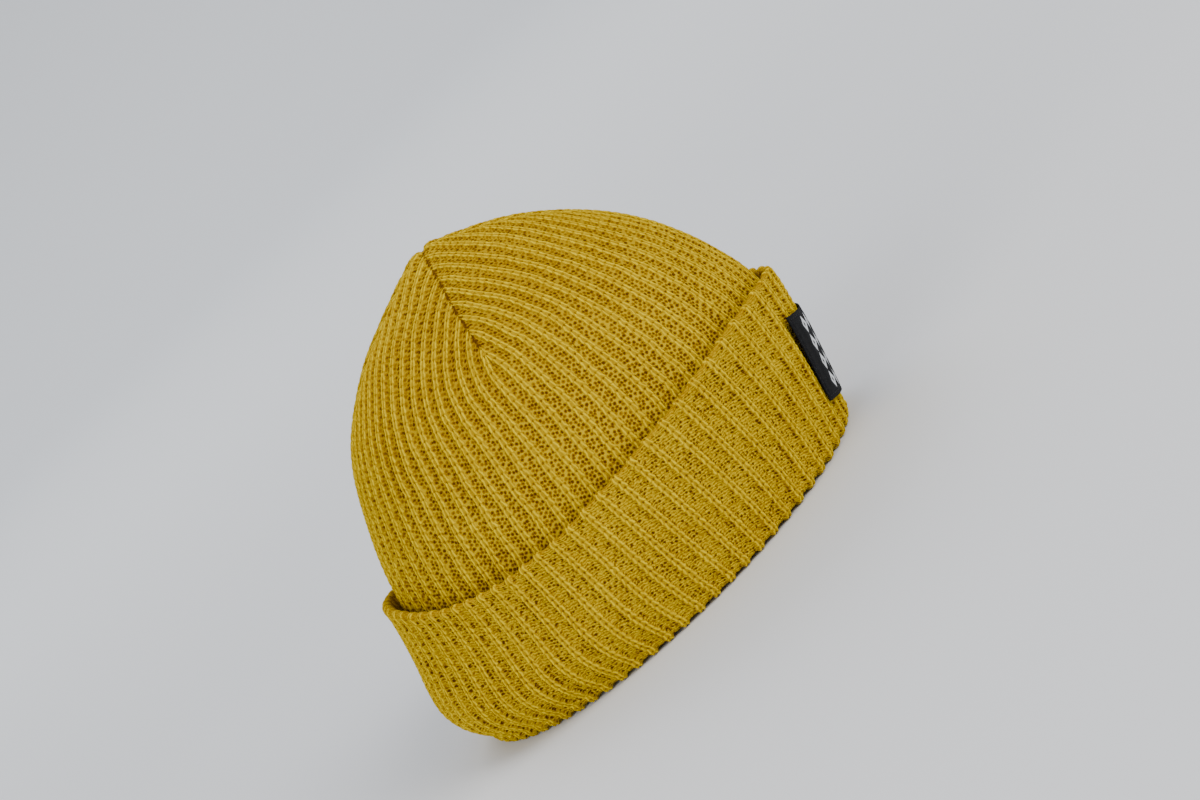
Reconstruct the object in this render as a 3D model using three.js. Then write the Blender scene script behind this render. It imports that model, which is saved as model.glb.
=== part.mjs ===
// A cuffed rib-knit beanie in its worn form, standing on its rim.
// Millimetres, +Z up. The wearer faces -Y, and the wearer's right is -X.
// The origin is on the resting plane, below the middle of the hat's length and width.
//
// The knit is one tube. It is closed at the top by four sewn darts, it comes down to the rim,
// folds outwards there, and stands up again as the cuff. The crown is the tube down to the rim,
// the cuff is the fold with the turned-up band, and the label is a woven patch at the front.
import * as THREE from "three";

// Driving dimensions.
const CROWN_WALL = 3.0; // one layer of the rib knit
const CUFF_WALL = 4.2; // the band, which has a thick turned edge
const PIECE_GAP = 0.35; // air between two pieces that touch
const FOLD_FLOOR = 3.3; // thickness of knit under the crown's lower edge
const REST_WIDTH = 4.5; // width of the fold that is flattened on the surface
const REST_INSET = 2.3; // from the fold's outer face to the flattened width
const FOLD_WIDTH = 9.2; // the fold's whole width under the two layers
const DART_LENGTH = 68; // each dart's length from the crown's tip
const DART_DENT = 1.6; // how far a dart's seam draws the knit in
const DART_SPREAD = 4.5; // how far to each side the dent is felt
const EGG = 0.03; // share by which the back of each section is broader than its front
const LABEL_WIDTH = 76;
const LABEL_HEIGHT = 38.8;
const LABEL_THICKNESS = 0.9;
const LABEL_TOP = 46.8; // height of its top edge at the middle
const LABEL_TILT = 0.09; // its rise towards -X, following the band's edge
const LABEL_BOW = 0.0028; // its ends rise by this times the square of their distance
const SIDES = 60; // facets round the hat

// The crown's outer face: how far it reaches forwards, backwards and to each side at a height.
const crownSections = [
  { height: 3.65, front: 94.4, back: 100.0, side: 74.0 },
  { height: 14, front: 97.6, back: 104.6, side: 76.6 },
  { height: 25, front: 100.4, back: 106.0, side: 78.2 },
  { height: 38, front: 103.2, back: 103.6, side: 79.4 },
  { height: 52, front: 106.2, back: 99.4, side: 80.0 },
  { height: 64, front: 108.4, back: 96.6, side: 80.0 },
  { height: 76, front: 107.3, back: 93.6, side: 79.4 },
  { height: 86, front: 104.6, back: 90.3, side: 78.2 },
  { height: 96, front: 100.9, back: 86.2, side: 76.2 },
  { height: 106, front: 96.0, back: 81.4, side: 73.4 },
  { height: 116, front: 90.4, back: 76.2, side: 69.8 },
  { height: 126, front: 83.6, back: 69.9, side: 65.2 },
  { height: 136, front: 75.0, back: 61.2, side: 58.8 },
  { height: 145.5, front: 65.0, back: 49.6, side: 50.2 },
  { height: 154.5, front: 53.4, back: 36.0, side: 39.8 },
  { height: 161.5, front: 42.4, back: 21.4, side: 28.8 },
  { height: 167.5, front: 31.2, back: 7.4, side: 18.0 },
  { height: 172.4, front: 21.6, back: -4.6, side: 8.4 },
  { height: 173.8, front: 17.4, back: -10.4, side: 3.6 },
  { height: 173.2, front: 14.0, back: -14.0, side: 0 },
];

// The cuff's outer face, at shares of the band's own height.
const cuffSections = [
  { share: 0.07, front: 100.7, back: 106.8, side: 80.0 },
  { share: 0.14, front: 102.0, back: 110.8, side: 81.6 },
  { share: 0.23, front: 103.7, back: 114.0, side: 83.0 },
  { share: 0.34, front: 105.8, back: 115.0, side: 84.2 },
  { share: 0.47, front: 108.3, back: 112.8, side: 85.0 },
  { share: 0.62, front: 111.0, back: 108.8, side: 85.8 },
  { share: 0.78, front: 113.4, back: 105.2, side: 86.3 },
  { share: 0.9, front: 115.0, back: 103.0, side: 86.5 },
  { share: 0.97, front: 115.2, back: 102.0, side: 86.4 },
];

// The band's height every 20 degrees round the hat, from the front by the wearer's right side.
// It was folded by hand, so the band dips beside the right ear and is highest behind.
const cuffHeights = [
  67.3, 71.5, 73.4, 72.0, 68.4, 65.2, 63.8, 66.8, 73.0, 75.6, 71.5, 67.5, 66.0, 66.0, 66.5, 66.5,
  66.0, 65.8,
];

const knit = new THREE.MeshStandardMaterial({ color: 0xb8921a, roughness: 0.95, metalness: 0 });
const weave = new THREE.MeshStandardMaterial({ color: 0x1a1a1d, roughness: 0.85, metalness: 0 });

// A smooth reading of one column of a table, at a share t of the way through its rows.
function column(rows, name) {
  const curve = new THREE.SplineCurve(rows.map((row, i) => new THREE.Vector2(i, row[name])));
  return (t) => curve.getPoint(THREE.MathUtils.clamp(t, 0, 1)).y;
}

// The point of an egg-shaped section at an angle from the front, turning towards -X.
function ovalPoint(front, back, side, height, angle) {
  const middle = (front - back) / 2;
  const half = (front + back) / 2;
  const x = -side * Math.sin(angle) * (1 - EGG * Math.cos(angle));
  return new THREE.Vector3(x, -(middle + half * Math.cos(angle)), height);
}

// A closed skin through rings of equal length: a ring of one point is a pole,
// and with no poles the last ring joins the first.
function loft(rings) {
  const positions = [];
  const corner = (ring, k) => ring[ring.length === 1 ? 0 : k % SIDES];
  const face = (a, b, c) => [a, b, c].forEach((p) => positions.push(p.x, p.y, p.z));
  const joined = rings[0].length > 1;
  const bands = joined ? rings.length : rings.length - 1;
  for (let i = 0; i < bands; i++) {
    const lower = rings[i];
    const upper = rings[(i + 1) % rings.length];
    for (let k = 0; k < SIDES; k++) {
      const [a, b] = [corner(lower, k), corner(lower, k + 1)];
      const [c, d] = [corner(upper, k), corner(upper, k + 1)];
      if (a !== b) face(a, d, b);
      if (c !== d) face(a, c, d);
    }
  }
  const skin = new THREE.BufferGeometry();
  skin.setAttribute("position", new THREE.Float32BufferAttribute(positions, 3));
  skin.computeVertexNormals();
  return skin;
}

const angles = Array.from({ length: SIDES }, (_, k) => (2 * Math.PI * k) / SIDES);
const ringOf = (pointAt) => angles.map((angle) => pointAt(angle));

// The crown's outer face, at a share t from the lower edge to the tip.
const crownColumns = Object.fromEntries(
  ["height", "front", "back", "side"].map((name) => [name, column(crownSections, name)]),
);
function crownPoint(t, angle) {
  const { height, front, back, side } = crownColumns;
  return ovalPoint(front(t), back(t), side(t), height(t), angle);
}

// The same point moved along the face's normal, inwards when the distance is negative.
function crownOffset(t, angle, distance) {
  const step = 0.002;
  const around = crownPoint(t, angle + step).sub(crownPoint(t, angle - step));
  const upwards = crownPoint(Math.min(t + step, 1), angle).sub(crownPoint(Math.max(t - step, 0), angle));
  const normal = upwards.cross(around).normalize();
  return crownPoint(t, angle).addScaledVector(normal, distance);
}

// How far the seams draw the knit in: beside the four darts, and less towards their ends.
// The seams run in the hat's middle plane and across it through the tip of the crown.
function dartDent(t, angle) {
  const point = crownPoint(t, angle);
  const tip = crownPoint(1, 0);
  const reach = point.distanceTo(tip) / DART_LENGTH;
  if (reach >= 1) return 0;
  const across = crownPoint(t, Math.PI / 2).y;
  const aside = Math.min(Math.abs(point.x), Math.abs(point.y - across));
  return DART_DENT * Math.sqrt(1 - reach) * Math.exp(-((aside / DART_SPREAD) ** 2));
}

function crownGeometry() {
  const outerRows = 27;
  const innerRows = 20;
  const tipShare = 0.985; // the last ring before the pole
  const rings = [[crownOffset(1, 0, -CROWN_WALL)]];
  for (let i = innerRows; i >= 0; i--) {
    const t = (tipShare * i) / innerRows;
    rings.push(ringOf((angle) => crownOffset(t, angle, -CROWN_WALL - dartDent(t, angle))));
  }
  for (let i = 0; i <= outerRows; i++) {
    const t = (tipShare * i) / outerRows;
    rings.push(ringOf((angle) => crownOffset(t, angle, -dartDent(t, angle))));
  }
  rings.push([crownPoint(1, 0)]);
  for (const p of [...rings[innerRows + 1], ...rings[innerRows + 2]]) p.z = crownSections[0].height;
  return loft(rings);
}

// The cuff's outer face, at a share of the band's height, moved inwards by an inset.
const cuffColumns = Object.fromEntries(
  ["share", "front", "back", "side"].map((name) => [name, column(cuffSections, name)]),
);
function cuffTop(angle) {
  const steps = cuffHeights.length;
  const place = ((angle / (2 * Math.PI) + 1) % 1) * steps;
  const k = Math.floor(place);
  const near = [-1, 0, 1, 2].map((i) => new THREE.Vector2(i, cuffHeights[(k + i + steps) % steps]));
  return new THREE.SplineCurve(near).getPoint((place - k + 1) / 3).y;
}
function cuffPoint(t, angle, inset, lift = 0) {
  const { share, front, back, side } = cuffColumns;
  const height = share(t) * cuffTop(angle) + lift;
  return ovalPoint(front(t) - inset, back(t) - inset, side(t) - inset, height, angle);
}

function cuffGeometry() {
  const outerRows = 9;
  const innerRows = 7;
  const lowest = cuffSections[0];
  const round = CUFF_WALL / 2; // the top edge is a half round
  const rings = [];
  const add = (pointAt) => rings.push(ringOf(pointAt));
  for (let i = 0; i <= outerRows; i++) add((angle) => cuffPoint(i / outerRows, angle, 0));
  for (const turn of [0.25, 0.5, 0.75]) {
    const inset = round * (1 - Math.cos(turn * Math.PI));
    add((angle) => cuffPoint(1, angle, inset, round * Math.sin(turn * Math.PI)));
  }
  for (let i = innerRows; i >= 0; i--) add((angle) => cuffPoint(i / innerRows, angle, CUFF_WALL));
  // Under the crown's lower edge, round the fold, and over the flattened width to the outer face.
  const fold = [
    { inset: CUFF_WALL + 0.05, height: FOLD_FLOOR },
    { inset: FOLD_WIDTH, height: FOLD_FLOOR },
    { inset: FOLD_WIDTH - 0.4, height: 1.2 },
    { inset: REST_INSET + REST_WIDTH, height: 0 },
    { inset: REST_INSET, height: 0 },
    { inset: 0.9, height: 1.3 },
    { inset: 0.2, height: 2.8 },
  ];
  for (const { inset, height } of fold) {
    const { front, back, side } = lowest;
    add((angle) => ovalPoint(front - inset, back - inset, side - inset, height, angle));
  }
  return loft(rings);
}

// The label: a thin patch that follows the front of the cuff.
function labelGeometry() {
  const columns = 18;
  const rows = 6;
  const middle = cuffPoint(0.5, 0, 0);
  const edge = cuffPoint(0.5, 0.01, 0);
  const halfAngle = (0.01 * (LABEL_WIDTH / 2)) / middle.distanceTo(edge);
  const patch = (outward) => {
    const grid = [];
    for (let j = 0; j <= rows; j++)
      for (let i = 0; i <= columns; i++) {
        const angle = halfAngle * ((2 * i) / columns - 1);
        const aside = (LABEL_WIDTH / 2) * ((2 * i) / columns - 1);
        const top = LABEL_TOP + LABEL_TILT * aside + LABEL_BOW * aside ** 2;
        const height = top - LABEL_HEIGHT * (1 - j / rows);
        grid.push(cuffPoint(rowOfShare(height / cuffTop(angle)), angle, -outward));
      }
    return grid;
  };
  const layers = [patch(PIECE_GAP), patch(PIECE_GAP + LABEL_THICKNESS)];
  const at = (layer, i, j) => layers[layer][j * (columns + 1) + i];
  const positions = [];
  const quad = (a, b, c, d) => {
    for (const p of [a, b, c, a, c, d]) positions.push(p.x, p.y, p.z);
  };
  for (let j = 0; j < rows; j++)
    for (let i = 0; i < columns; i++) {
      quad(at(1, i, j), at(1, i, j + 1), at(1, i + 1, j + 1), at(1, i + 1, j));
      quad(at(0, i, j), at(0, i + 1, j), at(0, i + 1, j + 1), at(0, i, j + 1));
    }
  for (let i = 0; i < columns; i++) {
    quad(at(0, i, 0), at(1, i, 0), at(1, i + 1, 0), at(0, i + 1, 0));
    quad(at(0, i, rows), at(0, i + 1, rows), at(1, i + 1, rows), at(1, i, rows));
  }
  for (let j = 0; j < rows; j++) {
    quad(at(0, 0, j), at(0, 0, j + 1), at(1, 0, j + 1), at(1, 0, j));
    quad(at(0, columns, j), at(1, columns, j), at(1, columns, j + 1), at(0, columns, j + 1));
  }
  const patchSkin = new THREE.BufferGeometry();
  patchSkin.setAttribute("position", new THREE.Float32BufferAttribute(positions, 3));
  patchSkin.computeVertexNormals();
  return patchSkin;
}

// How far through the cuff's table a share of the band's height is reached.
function rowOfShare(share) {
  let [low, high] = [0, 1];
  for (let i = 0; i < 40; i++) {
    const t = (low + high) / 2;
    if (cuffColumns.share(t) < share) low = t;
    else high = t;
  }
  return low;
}

function piece(name, geometry, material) {
  const mesh = new THREE.Mesh(geometry, material);
  mesh.name = name;
  return mesh;
}

const beanie = new THREE.Group();
beanie.add(piece("crown", crownGeometry(), knit));
beanie.add(piece("cuff", cuffGeometry(), knit));
beanie.add(piece("label", labelGeometry(), weave));

export default beanie;
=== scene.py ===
import math

import bmesh
import bpy
import numpy as np
from mathutils import Matrix, Vector


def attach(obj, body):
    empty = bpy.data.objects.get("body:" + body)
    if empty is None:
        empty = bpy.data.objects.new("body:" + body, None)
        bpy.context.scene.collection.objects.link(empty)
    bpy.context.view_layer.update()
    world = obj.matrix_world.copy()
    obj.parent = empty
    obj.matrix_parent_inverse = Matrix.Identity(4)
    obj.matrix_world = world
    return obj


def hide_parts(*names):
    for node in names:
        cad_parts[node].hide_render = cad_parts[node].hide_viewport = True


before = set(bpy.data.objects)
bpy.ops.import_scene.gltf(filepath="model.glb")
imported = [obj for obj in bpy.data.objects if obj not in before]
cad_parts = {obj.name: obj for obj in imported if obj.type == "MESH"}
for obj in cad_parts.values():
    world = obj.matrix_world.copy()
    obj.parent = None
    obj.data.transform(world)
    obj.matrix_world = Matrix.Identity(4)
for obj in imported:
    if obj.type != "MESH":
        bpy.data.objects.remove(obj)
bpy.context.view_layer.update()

# Sizes are in millimetres until a mesh is made.
MM = 0.001
# Share of its width by which a section is narrower before its middle and wider behind it.
EGG = 0.03
CROWN_WALL = 3.0
CUFF_WALL = 4.2
# How far the band's inner face goes down behind its upper edge.
EDGE_HIDDEN = 14.0
# The fold at the rim, from outside to inside: how far in from the band's lowest section, and height.
FOLD_RINGS = [(0.2, 2.8), (0.9, 1.3), (2.3, 0.0), (4.5, 0.0), (6.8, 0.0), (8.8, 1.2), (9.2, 3.3)]

# Height, then how far the section reaches to the front, the back and each side.
CROWN_SECTIONS = [
    (3.65, 94.4, 100.0, 74.0),
    (14.0, 97.6, 104.6, 76.6),
    (25.0, 100.4, 106.0, 78.2),
    (38.0, 103.2, 103.6, 79.4),
    (52.0, 106.2, 99.4, 80.0),
    (64.0, 108.4, 96.6, 80.0),
    (76.0, 107.3, 93.6, 79.4),
    (86.0, 104.6, 90.3, 78.2),
    (96.0, 100.9, 86.2, 76.2),
    (106.0, 96.0, 81.4, 73.4),
    (116.0, 90.4, 76.2, 69.8),
    (126.0, 83.6, 69.9, 65.2),
    (136.0, 75.0, 61.2, 58.8),
    (145.5, 65.0, 49.6, 50.2),
    (154.5, 53.4, 36.0, 39.8),
    (161.5, 42.4, 21.4, 28.8),
    (167.5, 31.2, 7.4, 18.0),
    (172.4, 21.6, -4.6, 8.4),
    (173.8, 17.4, -10.4, 3.6),
    (173.2, 14.0, -14.0, 0.0),
]

# Share of the band's height, then front, back and side reach.
CUFF_SECTIONS = [
    (0.07, 100.7, 106.8, 80.0),
    (0.14, 102.0, 110.8, 81.6),
    (0.23, 103.7, 114.0, 83.0),
    (0.34, 105.8, 115.0, 84.2),
    (0.47, 108.3, 112.8, 85.0),
    (0.62, 111.0, 108.8, 85.8),
    (0.78, 113.4, 105.2, 86.3),
    (0.90, 115.0, 103.0, 86.5),
    (0.97, 115.2, 102.0, 86.4),
]

# The band's height every 20 degrees, from the front round by the wearer's right.
CUFF_HEIGHTS = [
    67.3, 71.5, 73.4, 72.0, 68.4, 65.2, 63.8, 66.8, 73.0,
    75.6, 71.5, 67.5, 66.0, 66.0, 66.5, 66.5, 66.0, 65.8,
]

LABEL_WIDTH = 76.0
LABEL_HEIGHT = 38.8
LABEL_CLOTH = 0.45
# Height of the label's upper edge at the front, how it slopes, and how its sides rise.
LABEL_TOP = 46.8
LABEL_TILT = 0.09
LABEL_BOW = 0.0028
PIECE_GAP = 0.35
# Distance of the seam from the label's edge, and of its stitches from each other.
SEAM_INSET = 1.7
SEAM_SPACING = 2.6
# The label's pattern of diamonds, seven by four, with its margins at the sides and above.
DIAMOND_WIDTH = 7.6
DIAMOND_HEIGHT = 8.5
PATTERN_MARGIN = (LABEL_WIDTH - 7 * DIAMOND_WIDTH) / 2
PATTERN_TOP = (LABEL_HEIGHT - 4 * DIAMOND_HEIGHT) / 2

# Distance round the band's upper edge from the front, and how wide one rib is there: the knit is
# stretched in front and drawn in behind.
CUFF_PITCHES = [(0, 11.4), (90, 11.4), (150, 9.4), (200, 8.4), (250, 7.0), (307, 7.6)]

# The knit: each rib is one column of stitches, and the wide valley between two ribs is purl. A
# stitch of the valley is as high as STITCH, and one of a rib twice that. In the cuff the knit is
# stretched sideways, so its stitches are lower.
RIBS = 68
PETAL_RIBS = 17
HALF_PETAL = PETAL_RIBS // 2
RIB_PITCH = 9.2
STITCH = 1.9
CUFF_STITCH = 1.62
# How far apart a mesh's rows of points lie.
ROW = STITCH / 3
INSIDE_ROW = STITCH * 2 / 3
# Where a rib's columns of points lie, from its middle. The last one is the valley's middle.
FINE_OFFSETS = [-3.7, -2.85, -2.25, -1.65, -1.1, -0.55, 0.0, 0.55, 1.1, 1.65, 2.25, 2.85, 3.7, 4.6]
COARSE_OFFSETS = [-3.0, -2.0, -1.1, 0.0, 1.1, 2.0, 3.0, 4.6]
# Where a rib goes over into the valley, and how deep the knit lies at a distance from its middle.
RIB_EDGE = 1.65
RIB_PROFILE_SIDE = [0.0, 0.55, 1.1, 1.65, 2.25, 2.85, 4.6]
RIB_PROFILE_DEPTH = [0.26, 0.14, 0.0, 0.45, 0.9, 1.05, 1.0]
# How far the darts run down from the tip, and how far the cuff's ribs lean to the front.
DART_REACH = 79.0
LEAN = 7.0
# The last place on the crown that still has a ring round it.
LAST_RING = 0.9985
# A value of the seam mark that is far from every dart.
FAR_FROM_SEAM = 9.0


# Shape of the hat.

def curve_between(before, here, after, beyond, w):
    """A smooth curve through four values, at a share w of the way from the second to the third."""
    leave = (after - before) / 2
    arrive = (beyond - here) / 2
    cubic = 2 * here - 2 * after + leave + arrive
    square = 3 * after - 3 * here - 2 * leave - arrive
    return cubic * w ** 3 + square * w ** 2 + leave * w + here


def spline_rows(rows, place):
    """Values of a smooth column of table rows, at places from 0 to 1."""
    rows = np.array(rows, float)
    last = len(rows) - 1
    spot = np.clip(place, 0.0, 1.0) * last
    start = np.minimum(spot.astype(int), last - 1)
    before = rows[np.maximum(start - 1, 0)]
    beyond = rows[np.minimum(start + 2, last)]
    return curve_between(before, rows[start], rows[start + 1], beyond, (spot - start)[..., None])


def distance_along(points):
    """Distance from a curve's first point to each of its points."""
    steps = np.linalg.norm(np.diff(points, axis=0), axis=1)
    return np.concatenate([[0.0], np.cumsum(steps)])


def smooth(low, high, value):
    """0 below low, 1 above high, and an even curve between."""
    share = np.clip((value - low) / (high - low), 0.0, 1.0)
    return share * share * (3 - 2 * share)


def oval(front, back, side, height, angle):
    """A point of an egg-shaped section, at an angle from the front by the wearer's right."""
    middle = (front - back) / 2
    half = (front + back) / 2
    x = -side * np.sin(angle) * (1 - EGG * np.cos(angle))
    y = -(middle + half * np.cos(angle))
    return np.stack(np.broadcast_arrays(x, y, height), axis=-1)


def crown_point(place, angle):
    """A point of the crown's outside; place goes from 0 at the rim to 1 at the tip."""
    section = spline_rows(CROWN_SECTIONS, place)
    return oval(section[..., 1], section[..., 2], section[..., 3], section[..., 0], angle)


def crown_normal(place, angle):
    """Direction out of the crown, straight up at its very tip."""
    up = 0.0015
    aside = 0.01
    low = np.minimum(place, LAST_RING)
    along = crown_point(low + up, angle) - crown_point(low - up, angle)
    around = crown_point(low, angle + aside) - crown_point(low, angle - aside)
    normal = np.cross(along, around)
    normal /= np.linalg.norm(normal, axis=-1, keepdims=True)
    tip = smooth(0.985, 0.998, place)[..., None]
    normal = normal * (1 - tip) + np.array([0.0, 0.0, 1.0]) * tip
    return normal / np.linalg.norm(normal, axis=-1, keepdims=True)


def cuff_top(angle):
    """Height of the band's upper edge at an angle."""
    ring = np.array(CUFF_HEIGHTS)
    count = len(ring)
    spot = np.mod(angle / (2 * math.pi) * count, count)
    start = np.floor(spot).astype(int) % count
    before = ring[(start - 1) % count]
    after = ring[(start + 1) % count]
    beyond = ring[(start + 2) % count]
    return curve_between(before, ring[start], after, beyond, spot - np.floor(spot))


def cuff_point(place, angle, inset=0.0, lift=0.0):
    """A point of the cuff's outside, or inset from it; place goes from 0 low down to 1 on top."""
    section = spline_rows(CUFF_SECTIONS, place)
    height = section[..., 0] * cuff_top(angle) + lift
    reach = section[..., 1:] - inset
    return oval(reach[..., 0], reach[..., 1], reach[..., 2], height, angle)


def grid_normals(points):
    """Normals of a grid of points whose rows run down the outside and whose columns run clockwise."""
    down = np.gradient(points, axis=0)
    around = np.gradient(points, axis=1)
    normal = np.cross(around, down)
    return normal / np.maximum(np.linalg.norm(normal, axis=-1, keepdims=True), 1e-9)


def drift(seed, count, rows, spacing, amount):
    """Slow seeded wander, one line of numbers for each of several ribs."""
    source = np.random.RandomState(seed)
    knots = int(rows / spacing) + 4
    values = source.uniform(-1.0, 1.0, (knots, count))
    spot = np.arange(rows) / spacing
    start = np.floor(spot).astype(int)
    w = (spot - start)[:, None]
    w = w * w * (3 - 2 * w)
    return amount * (values[start] * (1 - w) + values[start + 1] * w)


# Lay of the knit over the shape.

def remaining_ribs(down):
    """How many of a petal's ribs are left at a distance from the tip; the darts take the others."""
    share = down / DART_REACH
    eased = 1 - (1.2 - share) ** 2 / 0.8
    return PETAL_RIBS * np.where(share < 0.8, share, np.where(share < 1.2, eased, 1.0))


def crown_rows(step, lowest):
    """Places of evenly spaced rows from the tip down to a height, with their distance from the tip."""
    place = np.linspace(0.0, 1.0, 2401)
    angle = np.radians(np.arange(0, 360, 10))
    points = crown_point(place[:, None], angle[None, :])
    steps = np.linalg.norm(np.diff(points, axis=0), axis=2).mean(axis=1)
    down = np.concatenate([np.cumsum(steps[::-1])[::-1], [0.0]])
    lower = len(place) // 4
    bottom = np.interp(lowest, points[:lower, 0, 2], down[:lower])
    count = int(round(bottom / step)) + 1
    rows = np.linspace(0.0, bottom, count)
    return np.interp(rows, down[::-1], place[::-1]), rows


def dart_angles(down):
    """Angles of the four darts at a distance from the tip; the side ones drift back lower down."""
    side = np.radians(90.5 + 1.8 * smooth(20.0, 95.0, down))
    return [0.0, side, math.pi, 2 * math.pi - side, 2 * math.pi]


def fit_offset(offset, pitch):
    """An offset from a rib's middle, kept near its own size where the ribs crowd together."""
    scale = (pitch / RIB_PITCH) ** 0.35
    edge = RIB_EDGE * scale
    size = np.abs(offset)
    valley = edge + (size - RIB_EDGE) / (RIB_PITCH / 2 - RIB_EDGE) * (pitch / 2 - edge)
    return np.sign(offset) * np.where(size <= RIB_EDGE, size * scale, valley)


def valley_spot(offset, pitch):
    """Distance from the nearest valley's middle, at an offset from a rib's middle."""
    return fit_offset(offset, pitch) - np.where(offset > 0, pitch, -pitch) / 2


def petal_angles(petal, places, rows, ribs, offsets, wander):
    """Angle of each vertex of one petal, its distance to the nearest dart and each row's rib width."""
    sweep = np.linspace(0.0, 2 * math.pi, 721)
    angles = np.zeros((len(rows), len(ribs)))
    to_dart = np.zeros_like(angles)
    wide = np.zeros((len(rows), 1))
    for i, (place, down) in enumerate(zip(places, rows)):
        ring = crown_point(np.full(sweep.shape, min(place, LAST_RING)), sweep)
        arc = distance_along(ring)
        darts = dart_angles(down)
        first, last = np.interp([darts[petal], darts[petal + 1]], sweep, arc)
        left = max(float(remaining_ribs(down)), 1e-3)
        pitch = (last - first) / left
        column = ribs + (fit_offset(offsets, pitch) + wander[i]) / pitch
        share = np.clip(column / left, -0.5, 0.5)
        angles[i] = np.interp(first + (share + 0.5) * (last - first), arc, sweep)
        to_dart[i] = (0.5 - np.abs(share)) * (last - first)
        wide[i] = pitch
    return angles, to_dart, wide


# Relief of the knit.

def bump_at(side, middle, reach):
    """1 at a distance from a rib's middle, and less on both sides of it."""
    return np.exp(-((side - middle) / reach) ** 2)


def rib_relief(offset, stitches, reverse):
    """Height of the knit against its rib tops, in millimetres; it never rises above them."""
    side = np.abs(offset)
    row_turn = 2 * math.pi * stitches
    stitch_wave = np.cos(math.pi * stitches)
    swap = np.where(offset > 0, 1.0, -1.0)
    height = -np.interp(side, RIB_PROFILE_SIDE, RIB_PROFILE_DEPTH)
    height = height - 0.2 * bump_at(side, 1.1, 0.45) * ((1 - stitch_wave) / 2) ** 3
    height = height - 0.3 * bump_at(side, 0.0, 0.4) * (1 + stitch_wave) / 2
    height = height - 0.30 * bump_at(side, 2.25, 0.35) * (1 + swap * np.cos(row_turn)) / 2
    height = height - 0.36 * bump_at(side, 3.75, 0.4) * (1 - swap * np.cos(row_turn)) / 2
    if reverse:
        height = height + 0.12 * smooth(1.8, 2.6, side) * np.cos(row_turn + 1.4 * np.cos(4 * side))
    return height


def grid_mesh(name, columns, rows):
    """A grid as a mesh, and how far across and along it each point lies, from 0 to 1."""
    grid = bmesh.new()
    bmesh.ops.create_grid(grid, x_segments=columns, y_segments=rows, size=0.5)
    mesh = bpy.data.meshes.new(name)
    grid.to_mesh(mesh)
    grid.free()
    flat = np.zeros(len(mesh.vertices) * 3)
    mesh.vertices.foreach_get("co", flat)
    flat = flat.reshape(-1, 3) + 0.5
    return mesh, flat[:, 0], flat[:, 1]


def map_grid(mesh, layer_name, across, along):
    """A UV map from two values of each point."""
    corner = np.zeros(len(mesh.loops), int)
    mesh.loops.foreach_get("vertex_index", corner)
    layer = mesh.uv_layers.new(name=layer_name)
    layer.data.foreach_set("uv", np.stack([across, along], axis=1)[corner].ravel())


def knit_piece(name, points, ribs, stitches, marks, material, node):
    """A grid of knit with its own map, ribs across and stitches along, and marks on its points."""
    shape = points.shape[:2]
    mesh, across, along = grid_mesh(name, shape[1] - 1, shape[0] - 1)
    column = np.rint(across * (shape[1] - 1)).astype(int)
    row = np.rint(along * (shape[0] - 1)).astype(int)
    mesh.vertices.foreach_set("co", (points[row, column] * MM).ravel())
    rib_map = np.broadcast_to(ribs, shape)[row, column]
    stitch_map = np.broadcast_to(stitches, shape)[row, column]
    map_grid(mesh, "knit", rib_map, stitch_map)
    for mark, values in marks.items():
        layer = mesh.attributes.new(mark, "FLOAT", "POINT")
        layer.data.foreach_set("value", np.broadcast_to(values, shape)[row, column])
    merged = bmesh.new()
    merged.from_mesh(mesh)
    bmesh.ops.remove_doubles(merged, verts=merged.verts, dist=0.02 * MM)
    merged.to_mesh(mesh)
    merged.free()
    mesh.shade_smooth()
    piece = bpy.data.objects.new(name, mesh)
    bpy.context.scene.collection.objects.link(piece)
    mesh.materials.append(material)
    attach(piece, "root")
    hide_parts(node)


# Crown.

def rib_columns(offsets, first, count):
    """Rib number and offset of every column from one valley's middle to another."""
    ribs = [first] + [first + k for k in range(count) for _ in offsets]
    spots = [-RIB_PITCH / 2] + list(offsets) * count
    return np.array(ribs, float), np.array(spots, float)


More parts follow.
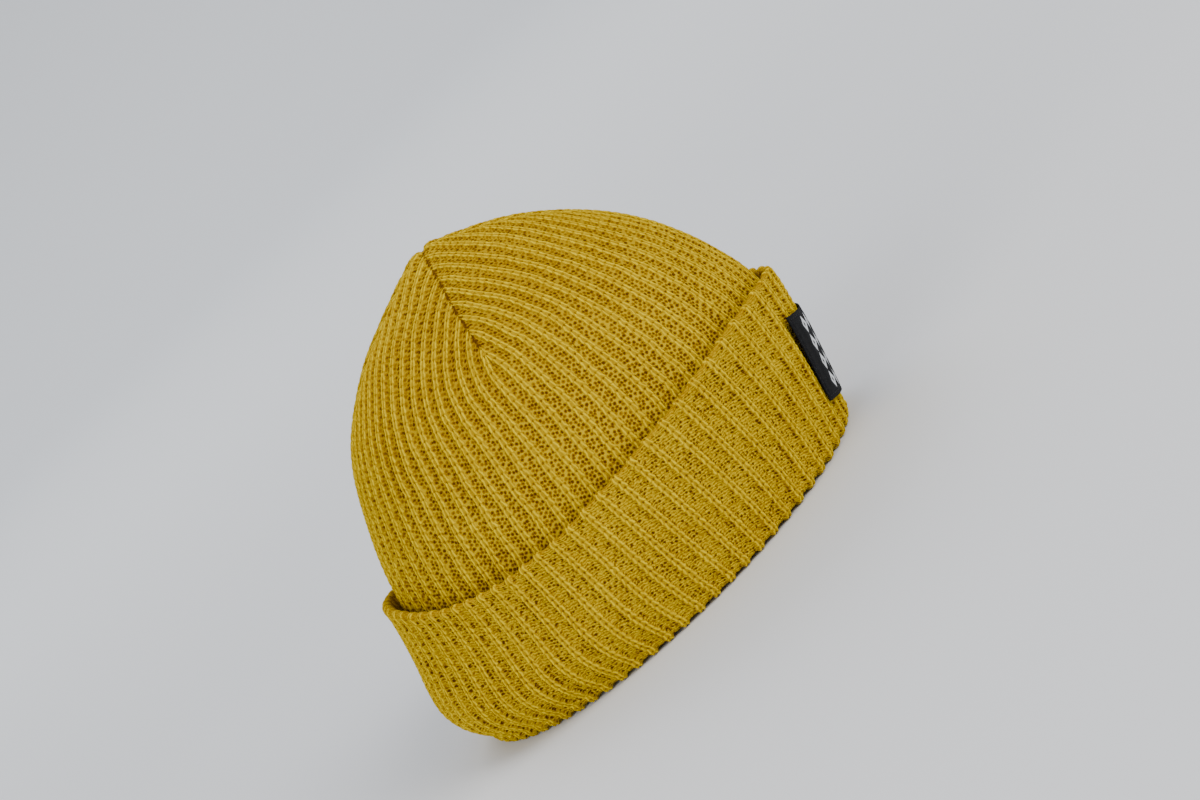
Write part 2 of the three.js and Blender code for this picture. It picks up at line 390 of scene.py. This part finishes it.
def make_crown(material):
    """The crown's outside, as four petals that meet in the darts and in the valleys below them."""
    places, rows = crown_rows(ROW, 46.0)
    down = rows[:, None]
    in_dart = 1 - smooth(DART_REACH - 4, DART_REACH + 4, down)
    ribs, offsets = rib_columns(FINE_OFFSETS, -HALF_PETAL, PETAL_RIBS)
    from_middle = (ribs * RIB_PITCH + offsets) / (PETAL_RIBS * RIB_PITCH / 2)
    names = ["crown_front_right", "crown_back_right", "crown_back_left", "crown_front_left"]
    for petal, name in enumerate(names):
        wander = drift(20 + petal, PETAL_RIBS, len(rows), 14.0, 0.35)
        wander += drift(40 + petal, PETAL_RIBS, len(rows), 5.0, 0.12)
        wander = wander[:, (ribs + HALF_PETAL).astype(int)] * (1 - np.abs(from_middle) ** 10)
        angles, to_dart, wide = petal_angles(petal, places, rows, ribs, offsets, wander)
        place = np.broadcast_to(places[:, None], angles.shape)
        stitches = np.broadcast_to(down / STITCH, angles.shape)
        points = crown_point(place, angles)
        normal = crown_normal(place, angles)
        # A dart draws the cloth in and closes the knit along its line.
        at_seam = np.exp(-(to_dart / 4.0) ** 2)
        dent = 1.5 * np.sqrt(np.clip(1 - down / DART_REACH, 0.0, 1.0)) * at_seam
        closed = in_dart * np.exp(-(to_dart / 0.8) ** 2)
        # The ribs stand out more behind, and the crown is a little fuller over the upper front.
        deep = 1.0 + 0.5 * smooth(15.0, 85.0, points[..., 1])
        relief = rib_relief(offsets, stitches, False) * (1 - closed) * deep - 0.85 * closed
        to_front = smooth(0.1, 0.9, np.cos(angles))
        fuller = 1.1 * to_front * smooth(10.0, 50.0, down) * (1 - smooth(100.0, 135.0, down))
        points = points + normal * (relief - dent + fuller)[..., None]
        over_cuff = np.maximum(points[..., 2] - cuff_top(angles), 0.0)
        marks = {
            "valley": valley_spot(offsets, wide),
            "width": wide,
            "seam": to_dart + FAR_FROM_SEAM * (1 - in_dart),
            "shadow": 0.18 * np.exp(-over_cuff / 4.0),
        }
        across = ribs + offsets / RIB_PITCH + petal * PETAL_RIBS
        knit_piece(name, points, across, stitches, marks, material, "crown")


# Cuff.

def cuff_spread():
    """Rib number and angle round the cuff's upper edge, with the rib width there."""
    sweep = np.linspace(0.0, 2 * math.pi, 1441)
    arc = distance_along(cuff_point(np.ones(sweep.shape), sweep)[:, :2])
    table = np.array(CUFF_PITCHES)
    from_front = np.minimum(arc, arc[-1] - arc)
    pitch = np.interp(from_front, table[:, 0], table[:, 1])
    number = np.concatenate([[0.0], np.cumsum(np.diff(arc) / ((pitch[1:] + pitch[:-1]) / 2))])
    return number * RIBS / number[-1], sweep, pitch * number[-1] / RIBS


def cuff_columns(offsets, first, count):
    """Rib numbers, offsets, angles and rib widths of the cuff's columns at its upper edge."""
    number, sweep, pitch = cuff_spread()
    ribs, spots = rib_columns(offsets, first, count)
    wide = np.interp(np.mod(ribs, RIBS), number, pitch)
    spot = ribs + fit_offset(spots, wide) / wide
    turns = np.floor(spot / RIBS)
    angle = np.interp(spot - turns * RIBS, number, sweep) + turns * 2 * math.pi
    return ribs, spots, angle, wide


def lean(angle, share):
    """The cuff's ribs lean: each one's lower end lies a few millimetres further to the front."""
    rows = np.array(CUFF_SECTIONS)
    front = np.interp(share, rows[:, 0], rows[:, 1])
    back = np.interp(share, rows[:, 0], rows[:, 2])
    middle = (front - back) / 2
    top_middle = (rows[-1, 1] - rows[-1, 2]) / 2
    shift = top_middle - middle + LEAN * (1 - share)
    return angle - np.sin(angle) * shift / ((front + back) / 2)


def cuff_rings(top_angle):
    """Dense rings of the cuff, from behind its edge over the top, down, and round the rim."""
    at_edge = np.ones(top_angle.shape)
    rings = []
    for share in np.linspace(0.0, 1.0, 8):
        lift = -EDGE_HIDDEN * (1 - share)
        rings.append(cuff_point(at_edge, top_angle, CUFF_WALL, lift))
    for turn in np.linspace(0.0, math.pi, 14)[1:-1]:
        inset = CUFF_WALL / 2 * (1 + math.cos(turn))
        lift = CUFF_WALL / 2 * math.sin(turn)
        rings.append(cuff_point(at_edge, top_angle, inset, lift))
    shares = np.array(CUFF_SECTIONS)[:, 0]
    for place in np.linspace(1.0, 0.0, 60):
        angle = lean(top_angle, np.interp(place, np.linspace(0, 1, len(shares)), shares))
        rings.append(cuff_point(np.full(angle.shape, place), angle))
    low_angle = lean(top_angle, 0.0)
    lowest = np.array(CUFF_SECTIONS[0][1:])
    insets = [0.0] + [inset for inset, _ in FOLD_RINGS]
    heights = [rings[-1][:, 2]] + [np.full(low_angle.shape, height) for _, height in FOLD_RINGS]
    for spot in np.linspace(0.0, len(FOLD_RINGS), 30)[1:]:
        index = min(int(spot), len(FOLD_RINGS) - 1)
        height = heights[index] * (1 - (spot - index)) + heights[index + 1] * (spot - index)
        front, back, side = lowest - np.interp(spot, range(len(insets)), insets)
        rings.append(oval(front, back, side, height, low_angle))
    for rise in np.linspace(0.0, 0.06, 6)[1:]:
        place = np.full(low_angle.shape, rise)
        rings.append(crown_point(place, low_angle) - crown_normal(place, low_angle) * CROWN_WALL)
    return np.array(rings)


def even_rows(rings, step):
    """Rings resampled so that each column's rows are evenly spaced, about a step apart."""
    steps = np.linalg.norm(np.diff(rings, axis=0), axis=2)
    along = np.concatenate([np.zeros((1, rings.shape[1])), np.cumsum(steps, axis=0)])
    count = int(along[-1].mean() / step)
    result = np.zeros((count, rings.shape[1], 3))
    share = np.linspace(0.0, 1.0, count)
    for k in range(rings.shape[1]):
        for axis in range(3):
            result[:, k, axis] = np.interp(share * along[-1, k], along[:, k], rings[:, k, axis])
    return result, along[-1].mean() / (count - 1)


def make_cuff(material):
    """The turned-up band: its outer face, thick upper edge and the fold at the rim."""
    for name, first in (("cuff_right", 1), ("cuff_left", 1 + RIBS // 2)):
        ribs, offsets, top_angle, wide = cuff_columns(FINE_OFFSETS, first, RIBS // 2)
        points, step = even_rows(cuff_rings(top_angle), ROW)
        normal = grid_normals(points)
        row = np.arange(len(points))[:, None]
        # Stitches are counted down from the upper edge, and those behind it are negative.
        to_edge = EDGE_HIDDEN + CUFF_WALL * 1.2
        stitches = (row * step - to_edge) / CUFF_STITCH
        relief = rib_relief(offsets, stitches, True)
        deep = np.interp(wide, [7.0, 9.4, 11.4], [1.5, 1.2, 1.6])
        soften = 0.25 + 0.75 * smooth(-1.0, 4.0, stitches)
        # Each rib ends in a knob of its own size, and the edge is a little uneven.
        at_edge = np.exp(-((stitches - 0.3) / 1.3) ** 2)
        luck = np.random.RandomState(67).random_sample(RIBS + 3)[ribs.astype(int)]
        knob = (0.32 + 0.48 * luck) * np.exp(-(offsets / 1.6) ** 2) * at_edge
        points = points + normal * (relief * soften * deep + knob)[..., None]
        across = ribs + offsets / RIB_PITCH
        uneven = drift(61, 1, RIBS + 3, 1.0, 0.5)[:, 0]
        edge = np.interp(across, np.arange(RIBS + 3), uneven)
        points[..., 2] += edge * np.exp(-(stitches / 4.0) ** 2)
        points[..., 2] += 0.35 * np.cos(2 * math.pi * offsets / RIB_PITCH) * at_edge
        valley = valley_spot(offsets, wide)
        marks = {"valley": valley, "width": wide, "seam": FAR_FROM_SEAM, "shadow": 0.0}
        knit_piece(name, points, across, stitches, marks, material, "cuff")


# Inside of the crown.

def join_petals(parts):
    """Petals side by side; each one's first column is the last one of the petal before."""
    return np.concatenate([parts[0]] + [part[:, 1:] for part in parts[1:]], axis=1)


def make_inside(material):
    """The crown's inner face, with a sewn ridge along each dart."""
    places, rows = crown_rows(INSIDE_ROW, 3.7)
    places, rows = places[::-1], rows[::-1]
    ribs, offsets = rib_columns(COARSE_OFFSETS, -HALF_PETAL, PETAL_RIBS)
    still = np.zeros((len(rows), len(ribs)))
    rim_number, rim_angle, _ = cuff_spread()
    settle = 1 - smooth(4.0, 60.0, spline_rows(CROWN_SECTIONS, places)[:, :1])
    in_dart = 1 - smooth(DART_REACH - 4, DART_REACH + 10, rows[:, None])
    petals = []
    for petal in range(4):
        angles, to_dart, wide = petal_angles(petal, places, rows, ribs, offsets, still)
        number = ribs + offsets / RIB_PITCH + HALF_PETAL + 0.5 + petal * PETAL_RIBS
        rim = lean(np.interp(number, rim_number, rim_angle), 0.0)
        angles = angles + (rim - angles[0]) * settle
        place = np.broadcast_to(places[:, None], angles.shape)
        seam = in_dart * np.exp(-(to_dart / 1.3) ** 2)
        offset = ((number + 0.5) % 1.0 - 0.5) * RIB_PITCH
        stitches = np.broadcast_to(rows[:, None] / STITCH, angles.shape)
        depth = CROWN_WALL + rib_relief(offset, stitches, True) * (1 - seam) + 1.6 * seam
        face = crown_point(place, angles) - crown_normal(place, angles) * depth[..., None]
        numbers = np.broadcast_to(number, angles.shape)
        widths = np.broadcast_to(wide, angles.shape)
        petals.append((face, numbers, stitches, valley_spot(offsets, wide), widths))
    points, across, stitches, valley, wide = [join_petals(parts) for parts in zip(*petals)]
    marks = {"valley": valley, "width": wide, "seam": FAR_FROM_SEAM, "shadow": 0.0}
    knit_piece("crown_inside", points, across, stitches, marks, material, "crown")


# Label.

def label_place(aside, drop):
    """A point of the cuff's face and the way out of it, aside and down from the label's top middle."""
    sweep = np.linspace(-0.6, 0.6, 601)
    arc = distance_along(cuff_point(np.full(sweep.shape, 0.5), sweep)[:, :2])
    angle = np.interp(aside, arc - np.interp(0.0, sweep, arc), sweep)
    height = LABEL_TOP + LABEL_TILT * aside + LABEL_BOW * aside ** 2 - drop
    steps = np.linspace(0.0, 1.0, 400)
    shares = spline_rows(CUFF_SECTIONS, steps)[:, 0]
    place = np.interp(height / cuff_top(angle), shares, steps)
    near = 0.01
    along = cuff_point(place + near, angle) - cuff_point(place - near, angle)
    around = cuff_point(place, angle + near) - cuff_point(place, angle - near)
    normal = np.cross(along, around)
    return cuff_point(place, angle), normal / np.linalg.norm(normal, axis=-1, keepdims=True)


def make_label(material, thread):
    """The woven label: a thin tape that follows the ribs a little and is sewn down all round."""
    mesh, across, along = grid_mesh("label_patch", 114, 60)
    aside = (across - 0.5) * LABEL_WIDTH
    drop = along * LABEL_HEIGHT
    to_edge = np.minimum(LABEL_WIDTH / 2 - np.abs(aside), np.minimum(drop, LABEL_HEIGHT - drop))
    point, normal = label_place(aside, drop)
    sewn_down = np.exp(-((to_edge - SEAM_INSET) / 0.7) ** 2)
    puff = 0.5 - 0.22 * sewn_down - 0.15 * np.exp(-(to_edge / 0.5) ** 2)
    puff += 0.14 * np.cos(2 * math.pi * aside / RIB_PITCH) * smooth(2.0, 8.0, to_edge)
    lift = PIECE_GAP + LABEL_CLOTH + puff
    mesh.vertices.foreach_set("co", ((point + normal * lift[:, None]) * MM).ravel())
    map_grid(mesh, "tape", aside + LABEL_WIDTH / 2, drop)
    mesh.shade_smooth()
    label = bpy.data.objects.new("label_patch", mesh)
    bpy.context.scene.collection.objects.link(label)
    thick = label.modifiers.new("cloth", "SOLIDIFY")
    thick.thickness = LABEL_CLOTH * MM
    thick.offset = -1.0
    mesh.materials.append(material)
    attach(label, "root")
    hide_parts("label")
    stitching = make_stitches(thread)


def make_stitches(thread):
    """A row of short stitches just inside the label's edge."""
    half = LABEL_WIDTH / 2 - SEAM_INSET
    low = LABEL_HEIGHT - SEAM_INSET
    top = SEAM_INSET
    corners = np.array([(-half, top), (half, top), (half, low), (-half, low), (-half, top)])
    sewing = bmesh.new()
    for start, end in zip(corners, corners[1:]):
        count = int(np.linalg.norm(end - start) / SEAM_SPACING)
        for share in (np.arange(count) + 0.5) / count:
            here = start + (end - start) * share
            ahead = start + (end - start) * (share + 0.01)
            points, normals = label_place(*np.stack([here, ahead], axis=1))
            out = Vector(normals[0])
            run = Vector(points[1] - points[0]).normalized()
            spread = out.cross(run)
            base = Vector(points[0]) + out * (PIECE_GAP + LABEL_CLOTH + 0.32)
            shape = Matrix((run * 0.95, spread * 0.24, out * 0.2)).transposed().to_4x4()
            place = Matrix.Scale(MM, 4) @ Matrix.Translation(base) @ shape
            bmesh.ops.create_uvsphere(sewing, u_segments=6, v_segments=4, radius=1.0, matrix=place)
    mesh = bpy.data.meshes.new("label_stitching")
    sewing.to_mesh(mesh)
    sewing.free()
    mesh.shade_smooth()
    stitching = bpy.data.objects.new("label_stitching", mesh)
    bpy.context.scene.collection.objects.link(stitching)
    mesh.materials.append(thread)
    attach(stitching, "root")
    return stitching


# Materials.

class Socket:
    """A number inside a material; sums and products of it add Math nodes."""

    def __init__(self, paint, link):
        self.paint = paint
        self.link = link

    def math(self, operation, *values):
        """A Math node on plain numbers or other sockets."""
        return self.paint.add("ShaderNodeMath", {"operation": operation}, *values)

    def __add__(self, other):
        return self.math("ADD", self, other)

    def __radd__(self, other):
        return self.math("ADD", other, self)

    def __sub__(self, other):
        return self.math("SUBTRACT", self, other)

    def __rsub__(self, other):
        return self.math("SUBTRACT", other, self)

    def __mul__(self, other):
        return self.math("MULTIPLY", self, other)

    def __truediv__(self, other):
        return self.math("DIVIDE", self, other)

    def __abs__(self):
        return self.math("ABSOLUTE", self)

    def fract(self):
        return self.math("FRACT", self)

    def floor(self):
        return self.math("FLOOR", self)

    def power(self, other):
        return self.math("POWER", self, other)

    def cosine(self):
        return self.math("COSINE", self)

    def step(self, low, high):
        """0 below low and 1 above high, with a smooth rise between."""
        settings = {"interpolation_type": "SMOOTHSTEP"}
        return self.paint.add("ShaderNodeMapRange", settings, self, low, high)


class Paint:
    """One material and its nodes."""

    def __init__(self, name):
        self.material = bpy.data.materials.new(name)
        self.material.use_nodes = True
        self.tree = self.material.node_tree
        self.shader = self.tree.nodes["Principled BSDF"]

    def give(self, socket, value):
        """A link or a plain value for one socket."""
        if isinstance(value, Socket):
            self.tree.links.new(value.link, socket)
        else:
            socket.default_value = value

    def set_stops(self, elements, stops):
        """Places and colours of a ramp."""
        while len(elements) < len(stops):
            elements.new(0.5)
        for element, (place, colour) in zip(elements, stops):
            element.position = place
            element.color = colour

    def add(self, kind, settings=None, *values, places=None, output=0, **named):
        """A node: its settings, then its sockets' values or links, in order, at places or by name."""
        node = self.tree.nodes.new(kind)
        for key, value in (settings or {}).items():
            if key == "stops":
                self.set_stops(node.color_ramp.elements, value)
            else:
                setattr(node, key, value)
        for key, value in zip(places or range(len(values)), values):
            self.give(node.inputs[key], value)
        for key, value in named.items():
            self.give(node.inputs[key.replace("_", " ")], value)
        return Socket(self, node.outputs[output])

    def other(self, made, output):
        """Another output of a node that is already there."""
        return Socket(self, made.link.node.outputs[output])

    def feed(self, **named):
        """What reaches the shader: a link or a plain value for each socket."""
        for key, value in named.items():
            self.give(self.shader.inputs[key.replace("_", " ")], value)

    def blend(self, share, first, second):
        """A colour between two colours."""
        colour = {"data_type": "RGBA"}
        return self.add("ShaderNodeMix", colour, share, first, second, places=(0, 6, 7), output=2)


def linear(red, green, blue):
    """A display colour from 0 to 255 as the plain light it stands for."""
    return tuple([(c / 255) ** 2.2 for c in (red, green, blue)] + [1.0])


def soft_spot(across, along):
    """1 in the middle of a round spot and 0 outside it; both distances are shares of its size."""
    return 1 - (across.power(2.0) + along.power(2.0)).step(0.2, 1.2)


def hole_net(paint, u, spot, stitch, row):
    """The valleys' holes: millimetres to the nearest, its random number and if its row is odd."""
    # Holes are one pitch apart across a valley, and no valley has another's random numbers.
    pitch = 1.6
    cells_a_rib = 6.0
    cell_x = spot / pitch + 0.5 + u.floor() * cells_a_rib
    cell_y = stitch + spot / (2 * pitch)
    cell = paint.add("ShaderNodeCombineXYZ", {}, cell_x, cell_y, 0.0)
    loose = {"voronoi_dimensions": "2D", "feature": "F1"}
    net = paint.add("ShaderNodeTexVoronoi", loose, Vector=cell, Scale=1.0, Randomness=0.55)
    chance = paint.add("ShaderNodeSeparateColor", {}, paint.other(net, 1))
    middle_x = paint.add("ShaderNodeSeparateXYZ", {}, paint.other(net, 2))
    middle_y = paint.other(middle_x, 1)
    away_x = middle_x - cell_x
    away_y = middle_y - cell_y - away_x * 0.5
    away = ((away_x * pitch).power(2.0) + (away_y * row).power(2.0)).power(0.5)
    return away, chance, (middle_y.floor() * 0.5).fract() * 2.0


def pierced_valley(spot, wide, away, chance, odd_row):
    """Holes and strands of the crown's valley, for painted shade in the holes and painted highlight on
    the strands: one column of holes where it is narrow.
    """
    narrow = 1 - wide.step(5.0, 8.6)
    off_middle = abs(spot).step(0.7, 1.2)
    size = odd_row * (narrow * 0.35 + 0.35) + chance * (0.45 - narrow * 0.3) + 0.2
    hole = (1 - (away - size * 0.3).step(-0.1, 0.6)) * (size * 0.6 + 0.35)
    hole = hole * (1 + narrow * (0.3 - off_middle * 1.1))
    return hole, away.step(0.65, 1.05) * 0.8 * (1 - narrow * 0.9)


def wavy_valley(v, spot, away, chance, jitter, waver, calm):
    """Holes and strands of the cuff's valley, for painted shade and painted highlight: short wavy bars
    across it and loose dark holes.
    """
    slant = spot * 0.22 + (jitter - 0.5) * 1.3
    bars = ((v * 1.25 + slant) * (2 * math.pi)).cosine() * 0.5 + 0.5
    size = chance.step(0.25, 0.95)
    hole = (1 - (away - size * 0.3).step(0.0, 0.55)) * (size * 0.9 + 0.2) * calm
    strand = bars * (waver.step(0.35, 0.6) * 0.7 + 0.5) + away.step(0.6, 0.95) * 0.3
    return hole, strand * (calm * 0.6 + 0.4)


def knit_material(name, reverse):
    """Mustard yarn with its knit's light and shade painted in: pale rib lines with dark dots between,
    and a pierced or wavy valley.
    """
    paint = Paint(name)
    coordinates = paint.add("ShaderNodeUVMap", {"uv_map": "knit"})
    u = paint.add("ShaderNodeSeparateXYZ", {}, coordinates)
    v = paint.other(u, 1)
    flat = paint.add("ShaderNodeCombineXYZ", {}, u * RIB_PITCH, v * STITCH, 0.0)
    noise = {"noise_dimensions": "2D"}
    jitter = paint.add("ShaderNodeTexNoise", noise, Vector=flat, Scale=0.45, Detail=1.0)
    waver = paint.add("ShaderNodeTexNoise", noise, Vector=flat, Scale=1.1, Detail=2.0)
    patch = paint.add("ShaderNodeTexNoise", noise, Vector=flat, Scale=0.05, Detail=3.0)
    fibre = paint.add("ShaderNodeTexNoise", noise, Vector=flat, Scale=3.5, Detail=3.0)
    shadow = paint.add("ShaderNodeAttribute", {"attribute_name": "shadow"}, output=2)
    to_seam = paint.add("ShaderNodeAttribute", {"attribute_name": "seam"}, output=2)
    spot = paint.add("ShaderNodeAttribute", {"attribute_name": "valley"}, output=2)
    wide = paint.add("ShaderNodeAttribute", {"attribute_name": "width"}, output=2)
    row = CUFF_STITCH if reverse else STITCH

    # Two pale lines on each rib, painted highlight where the stitches stand up, notched where a stitch
    # ends, with a dot of painted shade between for each one.
    side = abs(((u + 0.5).fract() - 0.5) * RIB_PITCH + (jitter - 0.5))
    stitch = v + (waver - 0.5) * 0.35
    pair = stitch * 0.5
    half = (u * 2.0).floor()
    each = paint.add("ShaderNodeCombineXYZ", {}, half, pair.floor(), 0.0)
    luck = paint.add("ShaderNodeTexWhiteNoise", {"noise_dimensions": "2D"}, Vector=each)
    phase = pair.fract()
    leg = 0.97 + (phase - 0.5) * 0.6
    line = 1 - abs(side - leg).step(0.1, 0.6)
    notch = abs(phase - 0.5).step(0.34, 0.5)
    dot_along = ((pair + 0.5).fract() - 0.5) * (2 * row / 0.65)
    dot_shade = soft_spot(side / 0.45, dot_along) * (jitter.step(0.3, 0.6) * 0.4 + 0.6)

    # Holes and strands in the valley: the holes are painted shade and the strands painted highlight.
    valley = side.step(1.4, 1.9)
    away, chance, odd_row = hole_net(paint, u, spot, stitch, row)
    if reverse:
        calm = v.step(-0.5, 1.6)
        hole, strand = wavy_valley(v, spot, away, chance, jitter, waver, calm)
        # Painted shade in the groove beside each rib: spots along its flank and a dark band next to
        # it, joined to the dots' painted shade.
        flank_along = ((pair + half * 0.5).fract() - 0.5) * (2 * row / 0.6)
        flank_shade = soft_spot((side - 1.95) / 0.4, flank_along) * (0.75 - wide.step(9.4, 11.4) * 0.4)
        groove_shade = (1 - abs(side - 2.2).step(0.1, 0.9)) * 0.2
        dot_shade = dot_shade + flank_shade * calm + groove_shade
    else:
        hole, strand = pierced_valley(spot, wide, away, chance, odd_row)
    hole = hole * valley
    strand = strand * valley

    # From dark to light: painted shade in the valleys, holes and dots, painted highlight on the rib
    # lines and strands; fibre, waver, patch and luck are the yarn's own uneven tone.
    base = 0.39 - valley * (0.13 if reverse else 0.1)
    tone = base + line * (0.48 - notch * 0.34 + (luck - 0.5) * 0.25) + strand * 0.42
    # Painted shade: the crown just above the cuff's edge (shadow) and the crease along each dart (near
    # the seam) are painted darker.
    tone = tone - hole * 0.42 - dot_shade * 0.3 - shadow * 0.45 - (1 - to_seam.step(0.1, 1.2)) * 0.34
    tone = tone + (fibre - 0.5) * 0.3 + (waver - 0.5) * 0.2 + (patch - 0.5) * 0.15
    stops = [
        (0.0, linear(88, 55, 0)),
        (0.25, linear(146, 107, 0)),
        (0.5, linear(183, 151, 0)),
        (0.75, linear(207, 174, 0)),
        (1.0, linear(229, 200, 0)),
    ]
    colour = paint.add("ShaderNodeValToRGB", {"stops": stops}, tone)
    height = line * 0.5 + strand * 0.3 - hole * 0.6 - dot_shade * 0.4 + (fibre - 0.5) * 0.2
    bump = paint.add("ShaderNodeBump", {}, Height=height, Strength=0.7, Distance=0.0005)
    paint.feed(Base_Color=colour, Normal=bump, Roughness=0.95, Specular_IOR_Level=0.05)
    paint.feed(Sheen_Weight=0.06, Sheen_Roughness=0.5, Sheen_Tint=(1.0, 0.75, 0.0, 1.0))
    return paint.material


def label_material():
    """Near-black woven tape with a plain pattern of pale diamonds."""
    paint = Paint("woven_label")
    coordinates = paint.add("ShaderNodeUVMap", {"uv_map": "tape"})
    x = paint.add("ShaderNodeSeparateXYZ", {}, coordinates)
    y = paint.other(x, 1)
    fray = paint.add("ShaderNodeTexNoise", {"noise_dimensions": "2D"}, Vector=coordinates, Scale=2.5)
    in_row = abs(((y - PATTERN_TOP) / DIAMOND_HEIGHT).fract() - 0.5) * DIAMOND_HEIGHT
    in_column = abs(((x - PATTERN_MARGIN) / DIAMOND_WIDTH).fract() - 0.5) * DIAMOND_WIDTH
    diamond = in_column / 3.6 + in_row / 4.1 + (fray - 0.5) * 0.3
    inner = 1 - diamond.step(0.26, 0.36)
    mark = (1 - diamond.step(0.9, 1.02)) - inner
    to_side = LABEL_WIDTH / 2 - PATTERN_MARGIN - abs(x - LABEL_WIDTH / 2)
    to_end = LABEL_HEIGHT / 2 - PATTERN_TOP - abs(y - LABEL_HEIGHT / 2)
    mark = mark * to_side.step(-0.1, 0.1) * to_end.step(0.0, 0.2)
    twill = ((x * 2.2 + y * 2.2) * (2 * math.pi)).cosine() * 0.5 + 0.5
    picks = (y * (4.0 * math.pi)).cosine() * 0.5 + 0.5
    black = paint.blend(twill * 0.7 + fray * 0.3, linear(8, 8, 9), linear(28, 28, 30))
    white = paint.blend(picks, linear(186, 188, 190), linear(236, 238, 242))
    colour = paint.blend(mark, black, white)
    height = twill * 0.5 + mark * 0.6 + picks * mark * 0.4
    bump = paint.add("ShaderNodeBump", {}, Height=height, Strength=0.6, Distance=0.0002)
    paint.feed(Base_Color=colour, Normal=bump, Roughness=0.8, Specular_IOR_Level=0.12)
    return paint.material


def thread_material():
    """Black sewing thread with a fine twist."""
    paint = Paint("label_thread")
    place = paint.add("ShaderNodeTexCoord", output=3)
    twist = paint.add("ShaderNodeTexWave", {"bands_direction": "DIAGONAL"}, Vector=place, Scale=900.0)
    colour = paint.blend(twist, linear(12, 12, 13), linear(40, 40, 43))
    paint.feed(Base_Color=colour, Roughness=0.65, Specular_IOR_Level=0.2)
    return paint.material


# Studio.

def make_floor():
    """A pale floor that rises far behind the hat as one seamless sheet."""
    bend_start = 2.6
    bend_reach = 2.4
    under_rim = 0.0003
    grid = bmesh.new()
    bmesh.ops.create_grid(grid, x_segments=80, y_segments=2, size=9.0)
    for vertex in grid.verts:
        past = max(0.0, vertex.co.x - bend_start)
        straight = max(0.0, past - bend_reach)
        vertex.co.z = min(past, bend_reach) ** 2 / bend_reach + straight * 2.0 - under_rim
    mesh = bpy.data.meshes.new("floor")
    grid.to_mesh(mesh)
    grid.free()
    mesh.shade_smooth()
    floor = bpy.data.objects.new("floor", mesh)
    bpy.context.scene.collection.objects.link(floor)
    paint = Paint("pale_floor")
    place = paint.add("ShaderNodeTexCoord", output=3)
    grain = paint.add("ShaderNodeTexNoise", {}, Vector=place, Scale=3.0, Detail=2.0)
    near_tone = paint.blend(grain, (0.74, 0.755, 0.79, 1.0), (0.77, 0.785, 0.82, 1.0))
    distance = paint.add("ShaderNodeSeparateXYZ", {}, place)
    tone = paint.blend(distance.step(0.2, 1.6), near_tone, (0.9, 0.92, 0.95, 1.0))
    paint.feed(Base_Color=tone, Roughness=0.8)
    mesh.materials.append(paint.material)


def add_light(name, place, aim, size, power, colour):
    """A square of soft light that faces a point."""
    lamp = bpy.data.lights.new(name, "AREA")
    lamp.shape = "SQUARE"
    lamp.size = size
    lamp.energy = power
    lamp.color = colour
    light = bpy.data.objects.new(name, lamp)
    bpy.context.scene.collection.objects.link(light)
    light.location = place
    light.rotation_euler = (Vector(aim) - Vector(place)).to_track_quat("-Z", "Y").to_euler()


def make_studio():
    """The floor, three soft lights and a pale sky all round."""
    make_floor()
    add_light("window", (-1.5, -1.9, 2.0), (0.0, 0.0, 0.08), 1.8, 74.0, (1.0, 0.965, 0.91))
    add_light("fill", (-1.8, 1.8, 1.4), (0.0, 0.0, 0.08), 2.0, 37.0, (1.0, 0.97, 0.9))
    add_light("back", (2.2, 0.6, 2.4), (0.0, 0.0, 0.05), 1.6, 30.0, (1.0, 1.0, 1.0))
    world = bpy.data.worlds.new("studio_air")
    bpy.context.scene.world = world
    world.use_nodes = True
    sky = world.node_tree.nodes["Background"].inputs
    sky["Color"].default_value = (0.82, 0.86, 0.92, 1.0)
    sky["Strength"].default_value = 0.65


def make_camera():
    """The photo's view: from the wearer's right, a little above, and turned about its own axis."""
    tilt = math.radians(12.0)
    turn = math.radians(43.5)
    distance = 1.15
    target = Vector((0.0, -24.8, 74.8)) * MM
    back = Vector((-math.cos(tilt), 0.0, math.sin(tilt)))
    level = Vector((0.0, -1.0, 0.0))
    rise = level.cross(-back)
    right = level * math.cos(turn) - rise * math.sin(turn)
    up = level * math.sin(turn) + rise * math.cos(turn)
    data = bpy.data.cameras.new("camera")
    data.lens = 82.14
    data.sensor_width = 36.0
    data.clip_start = 0.05
    data.clip_end = 60.0
    camera = bpy.data.objects.new("camera", data)
    bpy.context.scene.collection.objects.link(camera)
    turned = Matrix((right, up, back)).transposed().to_4x4()
    camera.matrix_world = Matrix.Translation(target + back * distance) @ turned
    bpy.context.scene.camera = camera


make_camera()
make_studio()
knit_outside = knit_material("knit_outside", False)
knit_reverse = knit_material("knit_reverse", True)
make_crown(knit_outside)
make_cuff(knit_reverse)
make_inside(knit_reverse)
make_label(label_material(), thread_material())
